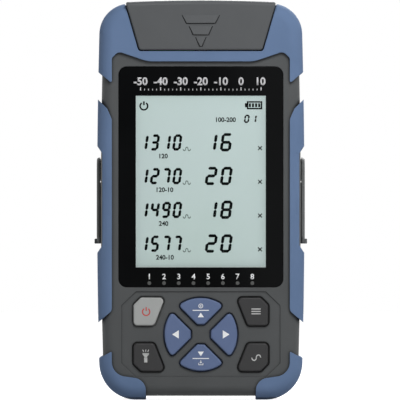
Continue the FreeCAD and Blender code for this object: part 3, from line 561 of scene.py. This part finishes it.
# places and sizes in metres, power in watts
lamps = [
    {"name": "keyLamp", "place": (0.14, -0.46, 0.54), "aim": (0, 0, 0.14), "size": 0.30, "power": 2.9},
    {"name": "fillLamp", "place": (0.30, -1.00, 0.30), "aim": (0, 0, 0.10), "size": 0.60, "power": 1.85},
    {"name": "backLamp", "place": (0.15, 0.60, 0.55), "aim": (0, 0, 0.10), "size": 0.50, "power": 5.5},
    {"name": "rightLamp", "place": (0.80, 0.30, 0.35), "aim": (0, 0, 0.10), "size": 0.50, "power": 1.4},
    {"name": "leftLamp", "place": (-0.80, 0.40, 0.35), "aim": (0, 0, 0.10), "size": 0.50, "power": 1.4},
]


def makeLamps():
    for lamp in lamps:
        data = bpy.data.lights.new(lamp["name"], "AREA")
        data.size = lamp["size"]
        data.energy = lamp["power"]
        light = bpy.data.objects.new(lamp["name"], data)
        bpy.context.scene.collection.objects.link(light)
        light.location = lamp["place"]
        aim = Vector(lamp["aim"]) - Vector(lamp["place"])
        light.rotation_euler = aim.to_track_quat("-Z", "Y").to_euler()


stage = {"ambient": 0.14, "size": 6, "colour": hue(182, 182, 182), "deep": hue(176, 176, 176),
         "cloud": 3.0, "rough": 0.7, "glow": 0.88}


def makeWorld():
    # white where it is seen, softer as a lamp
    world = bpy.data.worlds.new("studio")
    world.use_nodes = True
    tree = world.node_tree
    background = tree.nodes["Background"]
    background.inputs["Color"].default_value = (1, 1, 1, 1)
    extra = addMath(tree, "MULTIPLY", openRays(tree), 1.0 - stage["ambient"])
    tree.links.new(addMath(tree, "ADD", stage["ambient"], extra), background.inputs["Strength"])
    bpy.context.scene.world = world


def makeFloor():
    # its glow brings the open floor to white where it is seen, and it still takes the shadow
    bpy.ops.object.select_all(action="DESELECT")
    bpy.ops.mesh.primitive_plane_add(size=stage["size"], location=(0, 0, 0))
    floor = bpy.context.object
    floor.name = "floor"
    material, tree, surface = startMaterial("paleFloor")
    cloud = addNoise(tree, stage["cloud"])
    body = mixColours(tree, cloud, stage["deep"], stage["colour"])
    tree.links.new(body, surface.inputs["Base Color"])
    surface.inputs["Roughness"].default_value = stage["rough"]
    surface.inputs["Emission Color"].default_value = (1, 1, 1, 1)
    glow = addMath(tree, "MULTIPLY", openRays(tree), stage["glow"])
    tree.links.new(glow, surface.inputs["Emission Strength"])
    floor.data.materials.append(material)


bpy.context.scene.view_settings.view_transform = "Standard"
makeCamera()
makeLamps()
makeWorld()
makeFloor()
print("stage: camera, lamps, floor")


# flat printed shapes; all sizes in millimetres, faces towards -Y
# stepTurn, fewSteps and curve set how fine rings and figures are
ink = {"thick": 0.03, "sink": 0.01, "stepTurn": 9, "fewSteps": 6, "curve": 4}


def placeInk(thing, x, face, z, turn=0.0):
    # lays a shape that was made at the origin on the face at this depth
    thing.location = (x * mm, (face - ink["thick"] + ink["sink"]) * mm, z * mm)
    thing.rotation_euler = (0, math.radians(turn), 0)
    return bake(thing)


def inkBar(x, face, z, width, height, turn=0.0, nip=0.0):
    # a bar; nip cuts its four corners
    bpy.ops.object.select_all(action="DESELECT")
    bpy.ops.mesh.primitive_cube_add(size=1)
    bar = bpy.context.object
    bar.scale = (width * mm, ink["thick"] * mm, height * mm)
    bake(bar)
    bar.data.transform(Matrix.Translation((0, ink["thick"] * mm / 2, 0)))
    if nip > 0:
        editEdges(bar, lambda a, b: abs(a.x - b.x) < touch and abs(a.z - b.z) < touch)
        bpy.ops.mesh.bevel(offset=nip * mm, segments=1, affect="EDGES")
        closeEdit()
    return placeInk(bar, x, face, z, turn)


def inkDisc(x, face, z, radius, sides=32):
    bpy.ops.object.select_all(action="DESELECT")
    bpy.ops.mesh.primitive_cylinder_add(
        vertices=sides, radius=radius * mm, depth=ink["thick"] * mm,
        location=(0, ink["thick"] * mm / 2, 0), rotation=(math.radians(90), 0, 0))
    return placeInk(bake(bpy.context.object), x, face, z)


def thicken():
    # gives the flat shape that is open in edit mode its thickness, and turns its faces outwards
    bpy.ops.mesh.extrude_region_move(TRANSFORM_OT_translate={"value": (0, ink["thick"] * mm, 0)})
    bpy.ops.mesh.select_all(action="SELECT")
    bpy.ops.mesh.normals_make_consistent(inside=False)
    closeEdit()


def inkTriangle(x, face, z, width, height, turn=0.0):
    # points up before it is turned
    triangle = inkDisc(0, 0, 0, 1.0, sides=3)
    low, high = triangle.data.vertices[0].co.copy(), triangle.data.vertices[0].co.copy()
    for vertex in triangle.data.vertices:
        low = Vector(map(min, low, vertex.co))
        high = Vector(map(max, high, vertex.co))
    size = high - low
    middle = (high + low) / 2
    triangle.data.transform(Matrix.Translation((-middle.x, -low.y, -middle.z)))
    triangle.data.transform(Matrix.Diagonal((width * mm / size.x, 1, height * mm / size.z, 1)))
    return placeInk(triangle, x, face, z, turn)


def inkRing(x, face, z, radius, width, sweep=360.0, turn=0.0):
    # part of a ring that starts at the right and runs over the top
    bpy.ops.object.select_all(action="DESELECT")
    bpy.ops.mesh.primitive_plane_add(size=1)
    ring = bpy.context.object
    bpy.ops.object.mode_set(mode="EDIT")
    bpy.ops.mesh.select_mode(type="VERT")
    bpy.ops.mesh.select_all(action="DESELECT")
    closeEdit()
    for vertex in ring.data.vertices:
        vertex.select = vertex.co.y > 0
    bpy.ops.object.mode_set(mode="EDIT")
    bpy.ops.mesh.delete(type="VERT")
    closeEdit()
    for vertex in ring.data.vertices:
        vertex.co = ((radius + math.copysign(width / 2, vertex.co.x)) * mm, 0, 0)
    bpy.ops.object.mode_set(mode="EDIT")
    bpy.ops.mesh.select_all(action="SELECT")
    steps = max(ink["fewSteps"], round(sweep / ink["stepTurn"]))
    bpy.ops.mesh.spin(steps=steps, angle=math.radians(sweep), center=(0, 0, 0), axis=(0, -1, 0))
    bpy.ops.mesh.select_all(action="SELECT")
    bpy.ops.mesh.remove_doubles(threshold=touch)
    thicken()
    return placeInk(ring, x, face, z, turn)


def inkNumber(text, x, face, z, height, weight=0.0):
    # a printed number, centred on x and z
    bpy.ops.object.select_all(action="DESELECT")
    bpy.ops.object.text_add()
    words = bpy.context.object
    words.data.body = text
    words.data.resolution_u = ink["curve"]
    words.data.offset = weight
    pickOnly(words)
    bpy.ops.object.convert(target="MESH")
    number = bpy.context.object
    xs = [vertex.co.x for vertex in number.data.vertices]
    ys = [vertex.co.y for vertex in number.data.vertices]
    middle = Vector((max(xs) + min(xs), max(ys) + min(ys), 0)) / 2
    grow = height * mm / (max(ys) - min(ys))
    number.data.transform(Matrix.Translation(-middle))
    number.data.transform(Matrix.Rotation(math.radians(90), 4, "X") @ Matrix.Scale(grow, 4))
    bpy.ops.object.mode_set(mode="EDIT")
    bpy.ops.mesh.select_mode(type="FACE")
    bpy.ops.mesh.select_all(action="SELECT")
    thicken()
    return placeInk(number, x, face, z)


# display window
windowLow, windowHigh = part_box("display_window")
window = {"corner": 4.0, "cornerSteps": 10, "edge": 0.2, "edgeSteps": 3, "face": windowLow.y / mm,
          "clearHalf": 31.05, "clearLow": 63.3, "clearHigh": 145.3}


def makeWindow():
    # a rounded pane, black round a clear opening
    bpy.ops.object.select_all(action="DESELECT")
    middle = (windowLow + windowHigh) / 2
    bpy.ops.mesh.primitive_cube_add(size=1, location=middle)
    pane = bpy.context.object
    pane.scale = windowHigh - windowLow
    bake(pane)
    editEdges(pane, lambda a, b: abs(a.y - b.y) > touch)
    bpy.ops.mesh.bevel(offset=window["corner"] * mm, segments=window["cornerSteps"], affect="EDGES")
    closeEdit()
    front = windowLow.y
    editEdges(pane, lambda a, b: abs(a.y - front) < touch and abs(b.y - front) < touch)
    bpy.ops.mesh.bevel(offset=window["edge"] * mm, segments=window["edgeSteps"], affect="EDGES")
    cuts = [((side * window["clearHalf"] * mm, 0, 0), (1, 0, 0)) for side in (-1, 1)]
    cuts += [((0, 0, window[key] * mm), (0, 0, 1)) for key in ("clearLow", "clearHigh")]
    for place, way in cuts:
        bpy.ops.mesh.select_all(action="SELECT")
        bpy.ops.mesh.bisect(plane_co=place, plane_no=way)
    closeEdit()
    pane.name = "windowPane"
    settle(pane, "casing", "window", finish["glossBlack"], finish["windowClear"])
    for face in pane.data.polygons:
        spot = face.center / mm
        clear = abs(spot.x) < window["clearHalf"] and window["clearLow"] < spot.z < window["clearHigh"]
        face.material_index = 1 if clear else 0
    pane.visible_shadow = False
    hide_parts("display_window")


# numbered lamps under the screen, and the printed scale over it
channels = {"count": 8, "pitch": 7.03, "lampZ": 55.8, "lampRadius": 0.9, "lampSides": 24,
            "numberZ": 58.95, "numberHigh": 2.7, "numberWeight": 0.02}


def makeChannels():
    face = window["face"]
    first = -channels["pitch"] * (channels["count"] - 1) / 2
    dots = [inkDisc(first, face, channels["lampZ"], channels["lampRadius"], channels["lampSides"])]
    dots += [copyOf(dots[0], x=channels["pitch"] * step) for step in range(1, channels["count"])]
    numbers = [inkNumber(str(index + 1), first + channels["pitch"] * index, face, channels["numberZ"],
                         channels["numberHigh"], channels["numberWeight"])
               for index in range(channels["count"])]
    settle(joinAs("channelDots", dots), "casing", "indicator", finish["lens"])
    settle(joinAs("channelNumbers", numbers), "casing", "window", finish["inkWhite"])


scale = {"first": -50, "step": 10, "count": 7, "pitch": 9.6, "numberZ": 152.2, "numberHigh": 3.9,
         "numberWeight": 0.03, "tickZ": 148.6, "tickHigh": 1.5, "tickWide": 0.45, "small": 4,
         "smallHigh": 0.8, "smallWide": 0.7}


def makeScale():
    # plain level scale over the screen
    start = -scale["pitch"] * (scale["count"] - 1) / 2
    face = window["face"]
    tick = inkBar(start, face, scale["tickZ"], scale["tickWide"], scale["tickHigh"])
    lift = (scale["tickHigh"] - scale["smallHigh"]) / 2
    small = inkBar(start, face, scale["tickZ"] - lift, scale["tickWide"] * scale["smallWide"],
                   scale["smallHigh"])
    gap = scale["pitch"] / (scale["small"] + 1)
    marks = []
    for index in range(scale["count"]):
        away = index * scale["pitch"]
        value = scale["first"] + index * scale["step"]
        marks.append(inkNumber(str(value), start + away, face, scale["numberZ"], scale["numberHigh"],
                               scale["numberWeight"]))
        marks.append(copyOf(tick, x=away))
        if index < scale["count"] - 1:
            marks += [copyOf(small, x=away + gap * part) for part in range(1, scale["small"] + 1)]
    bpy.data.objects.remove(tick)
    bpy.data.objects.remove(small)
    settle(joinAs("levelScale", marks), "casing", "window", finish["inkSilver"])


makeWindow()
makeChannels()
makeScale()
print("stage: display window")

# display segments
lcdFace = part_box("lcd_panel")[0].y / mm
segmentsOf = {"0": "abcdef", "1": "bc", "2": "abged", "3": "abgcd", "4": "fgbc", "5": "afgcd",
              "6": "afgedc", "7": "abc", "8": "abcdefg", "9": "abcdfg"}
bigDigit = {"width": 4.1, "height": 7.8, "stroke": 1.3, "lean": 8.0, "pitch": 5.35}
tallDigit = {"width": 5.3, "height": 8.8, "stroke": 1.42, "lean": 8.0, "pitch": 7.2}
smallDigit = {"width": 2.5, "height": 4.0, "stroke": 0.8, "lean": 8.0, "pitch": 3.4}
segment = {"gap": 0.12, "nip": 0.36}  # shares of the stroke


def makeDigit(value, shape):
    # one leaning seven-segment figure, its foot at height 0
    right = (shape["width"] - shape["stroke"]) / 2
    top = (shape["height"] - shape["stroke"]) / 2
    across = 2 * right - segment["gap"] * shape["stroke"]
    along = top - segment["gap"] * shape["stroke"]
    nip = segment["nip"] * shape["stroke"]
    level = inkBar(0, 0, 0, across, shape["stroke"], nip=nip)
    upright = inkBar(0, 0, 0, shape["stroke"], along, nip=nip)
    places = {"a": (level, 0, top), "g": (level, 0, 0), "d": (level, 0, -top),
              "b": (upright, right, top / 2), "c": (upright, right, -top / 2),
              "f": (upright, -right, top / 2), "e": (upright, -right, -top / 2)}
    bars = [copyOf(places[letter][0], *places[letter][1:]) for letter in segmentsOf[value]]
    bpy.data.objects.remove(level)
    bpy.data.objects.remove(upright)
    digit = joinAs("digit", bars)
    lean = Matrix.Identity(4)
    lean[0][2] = math.tan(math.radians(shape["lean"]))
    digit.data.transform(lean)
    digit.data.transform(Matrix.Translation((0, lcdFace * mm, shape["height"] / 2 * mm)))
    return digit


def makeNumbers(shape, wanted):
    # wanted: (text, x of the last figure's middle, height of its foot); each figure is modelled once
    used = sorted(set("".join(text for text, x, low in wanted)))
    figures = {value: makeDigit(value, shape) for value in used}
    placed = []
    for text, x, low in wanted:
        for index, value in enumerate(reversed(text)):
            placed.append(copyOf(figures[value], x - index * shape["pitch"], low))
    for figure in figures.values():
        bpy.data.objects.remove(figure)
    return placed


def waveMark(face, z, wave):
    # a row of half rings, up and down in turn
    parts = []
    step = wave["width"] / wave["loops"]
    radius = step / 2
    for index in range(wave["loops"]):
        centre = wave["x"] - wave["width"] / 2 + step * (index + 0.5)
        part = inkRing(0, 0, 0, radius, wave["stroke"], sweep=180, turn=0 if index % 2 == 0 else 180)
        part.data.transform(Matrix.Diagonal((1, 1, wave["high"] / 2 / radius, 1)))
        part.data.transform(Matrix.Translation((centre * mm, face * mm, z * mm)))
        parts.append(part)
    return parts


rows = [{"low": 119.1, "number": "1310", "reading": "16", "note": "120", "noteX": -17.8},
        {"low": 103.0, "number": "1270", "reading": "20", "note": "120-10", "noteX": -17.15},
        {"low": 86.85, "number": "1490", "reading": "18", "note": "240", "noteX": -17.8},
        {"low": 70.7, "number": "1577", "reading": "20", "note": "240-10", "noteX": -17.15}]
screen = {"numberX": -11.25, "readingX": 12.2, "readingDrop": 0.4, "noteDrop": 2.6, "noteHigh": 2.3,
          "noteWeight": 0.03, "count": "01", "countX": 25.4, "countZ": 132.3, "range": "100-200",
          "rangeX": 12.0, "rangeZ": 133.9}
cross = {"x": 28.3, "up": 1.2, "size": 2.6, "stroke": 0.52}
unit = {"x": -6.7, "up": 0.8, "width": 3.5, "high": 1.6, "stroke": 0.4, "loops": 3}
power = {"gap": 70, "barUp": 0.75, "barHigh": 1.05}  # degrees, then shares of the radius
screenPower = {"x": -27.2, "z": 140.4, "radius": 1.8, "stroke": 0.78}
battery = {"x": 25.7, "z": 140.8, "width": 7.4, "height": 3.9, "stroke": 0.72, "bars": 4,
           "barWide": 0.66, "barHigh": 0.46, "nub": 0.9, "nubHigh": 0.5}
rimHighlight = {"width": 0.5}


def crossMark(z):
    return [inkBar(cross["x"], lcdFace, z, cross["size"], cross["stroke"], turn=turn)
            for turn in (45, -45)]


def powerMark(face, mark):
    # a ring open at the top with a bar through the opening
    x, z, radius, stroke = (mark[key] for key in ("x", "z", "radius", "stroke"))
    ring = inkRing(x, face, z, radius, stroke, sweep=360 - power["gap"], turn=power["gap"] / 2 - 90)
    bar = inkBar(x, face, z + radius * power["barUp"], stroke, radius * power["barHigh"])
    return [ring, bar]


def batteryMark():
    # an outline with its nub on the left and a row of bars; their sizes are shares of their room
    x, z, wide, high, stroke = (battery[key] for key in ("x", "z", "width", "height", "stroke"))
    parts = [inkBar(x, lcdFace, z + side * (high - stroke) / 2, wide, stroke) for side in (-1, 1)]
    parts += [inkBar(x + side * (wide - stroke) / 2, lcdFace, z, stroke, high) for side in (-1, 1)]
    nub = battery["nub"]
    parts.append(inkBar(x - wide / 2 - nub / 2, lcdFace, z, nub, high * battery["nubHigh"]))
    step = (wide - 2 * stroke) / battery["bars"]
    first = x - wide / 2 + stroke
    barWide, barHigh = step * battery["barWide"], high * battery["barHigh"]
    parts += [inkBar(first + step * (index + 0.5), lcdFace, z, barWide, barHigh)
              for index in range(battery["bars"])]
    return parts


def repeatMarks(marks, heights):
    # the marks were made at the first height
    copies = [copyOf(mark, z=height - heights[0]) for height in heights[1:] for mark in marks]
    return marks + copies


def makeScreen():
    lows = [row["low"] for row in rows]
    readings = [(row["reading"], screen["readingX"], row["low"] - screen["readingDrop"]) for row in rows]
    dark = makeNumbers(bigDigit, [(row["number"], screen["numberX"], row["low"]) for row in rows])
    dark += makeNumbers(tallDigit, readings)
    dark += makeNumbers(smallDigit, [(screen["count"], screen["countX"], screen["countZ"])])
    dark += powerMark(lcdFace, screenPower)
    dark += batteryMark()
    notes = [(row["note"], row["noteX"], row["low"] - screen["noteDrop"]) for row in rows]
    notes.append((screen["range"], screen["rangeX"], screen["rangeZ"]))
    fine = [inkNumber(text, x, lcdFace, z, screen["noteHigh"], screen["noteWeight"])
            for text, x, z in notes]
    fine += repeatMarks(crossMark(lows[0] + cross["up"]), lows)
    pale = repeatMarks(waveMark(lcdFace, lows[0] + unit["up"], unit), lows)
    for name, marks, inkName in (("screenFigures", dark, "inkLcd"), ("screenNotes", fine, "inkLcdFine"),
                                 ("screenUnits", pale, "inkLcdPale")):
        settle(joinAs(name, marks), "casing", "display", finish[inkName])


def makeScreenRim():
    # painted highlight: a pale strip along the left and lower edges of the opening, where its edge
    # catches the light
    half, low, high, width = window["clearHalf"], window["clearLow"], window["clearHigh"], rimHighlight["width"]
    parts = [inkBar(-half + width / 2, lcdFace, (low + high) / 2, width, high - low),
             inkBar(width / 2, lcdFace, low + width / 2, 2 * half - width, width)]
    settle(joinAs("screenRimHighlight", parts), "casing", "display", finish["inkRimHighlight"])


makeScreen()
makeScreenRim()
print("stage: screen figures")

# key legends
arrow = {"padZ": 31.3, "out": 12.1, "wide": 4.0, "deep": 3.2, "z": 40.6, "smallWide": 2.9,
         "smallDeep": 2.2}
line = {"z": 42.8, "long": 7.8, "thick": 0.4}
target = {"z": 44.9, "radius": 0.95, "stroke": 0.3, "dot": 0.35, "dotSides": 16}
tray = {"width": 2.4, "stroke": 0.3, "floor": 0.9, "side": 0.9, "sideDrop": 0.5, "stem": 0.32,
        "stemUp": 0.75, "headWide": 1.3, "headDeep": 0.8, "headUp": 0.05}
keyPower = {"x": -26.1, "z": 42.1, "radius": 1.75, "stroke": 0.5}
menuBars = {"x": 26.4, "z": 42.3, "width": 4.4, "stroke": 0.5, "pitch": 1.15}
torch = {"x": -26.3, "z": 20.8, "bodyWide": 1.5, "bodyHigh": 2.4, "bodyDrop": 1.7, "headWide": 3.4,
         "headDeep": 2.4, "headUp": 0.1, "brimWide": 2.9, "brimThick": 0.5, "brimUp": 1.35,
         "rayWide": 0.35, "rayHigh": 1.1, "rayUp": 2.7, "rayOut": 1.2, "rayLean": 25}
keyWave = {"x": 26.5, "z": 20.2, "width": 4.2, "high": 2.6, "stroke": 0.45, "loops": 2}


def keyFace(node):
    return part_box(node)[0].y / mm


def keyLegend(name, key, slotName, inkName, parts):
    settle(joinAs(name, parts), key + "_cap", slotName, finish[inkName])


def targetMark(face, z):
    # a ring round a dot
    return [inkRing(0, face, z, target["radius"], target["stroke"]),
            inkDisc(0, face, z, target["radius"] * target["dot"], sides=target["dotSides"])]


def trayMark(face, z):
    # a tray with an arrow into it
    wide, stroke = tray["width"], tray["stroke"]
    parts = [inkBar(0, face, z - tray["floor"], wide, stroke)]
    parts += [inkBar(side * (wide - stroke) / 2, face, z - tray["sideDrop"], stroke, tray["side"])
              for side in (-1, 1)]
    parts.append(inkBar(0, face, z + tray["stemUp"], tray["stem"], tray["side"]))
    parts.append(inkTriangle(0, face, z + tray["headUp"], tray["headWide"], tray["headDeep"], turn=180))
    return parts


def menuMark(face):
    # three level bars
    return [inkBar(menuBars["x"], face, menuBars["z"] + step * menuBars["pitch"], menuBars["width"],
                   menuBars["stroke"]) for step in (-1, 0, 1)]


def torchMark(face):
    # a torch standing on its end with rays over it
    x, z = torch["x"], torch["z"]
    parts = [inkBar(x, face, z - torch["bodyDrop"], torch["bodyWide"], torch["bodyHigh"]),
             inkTriangle(x, face, z + torch["headUp"], torch["headWide"], torch["headDeep"], turn=180),
             inkBar(x, face, z + torch["brimUp"], torch["brimWide"], torch["brimThick"])]
    parts += [inkBar(x + side * torch["rayOut"], face, z + torch["rayUp"], torch["rayWide"],
                     torch["rayHigh"], turn=side * torch["rayLean"]) for side in (-1, 0, 1)]
    return parts


def makeLegends():
    # the upper and lower key carry the same marks, mirrored about the pad's middle
    pad = arrow["padZ"]
    face = keyFace("left_key")
    for name, key, side in (("leftArrow", "left_key", -1), ("rightArrow", "right_key", 1)):
        keyLegend(name, key, "blue_key", "inkWhite",
                  [inkTriangle(side * arrow["out"], face, pad, arrow["wide"], arrow["deep"],
                               turn=side * 90)])
    for name, key, side, turn, picture in (("upMarks", "up_key", 1, 0, targetMark),
                                           ("downMarks", "down_key", -1, 180, trayMark)):
        arrowZ, lineZ, pictureZ = (pad + side * (mark["z"] - pad) for mark in (arrow, line, target))
        keyLegend(name, key, "blue_key", "inkWhite",
                  [inkTriangle(0, face, arrowZ, arrow["smallWide"], arrow["smallDeep"], turn=turn),
                   inkBar(0, face, lineZ, line["long"], line["thick"])] + picture(face, pictureZ))
    keyLegend("powerMark", "power_key", "light_key", "inkRed",
              powerMark(keyFace("power_key"), keyPower))
    keyLegend("menuMark", "menu_key", "dark_key", "inkGrey", menuMark(keyFace("menu_key")))
    keyLegend("torchMark", "torch_key", "dark_key", "inkGrey", torchMark(keyFace("torch_key")))
    keyLegend("waveMark", "wave_key", "dark_key", "inkGrey",
              waveMark(keyFace("wave_key"), keyWave["z"], keyWave))


makeLegends()
print("stage: key legends")
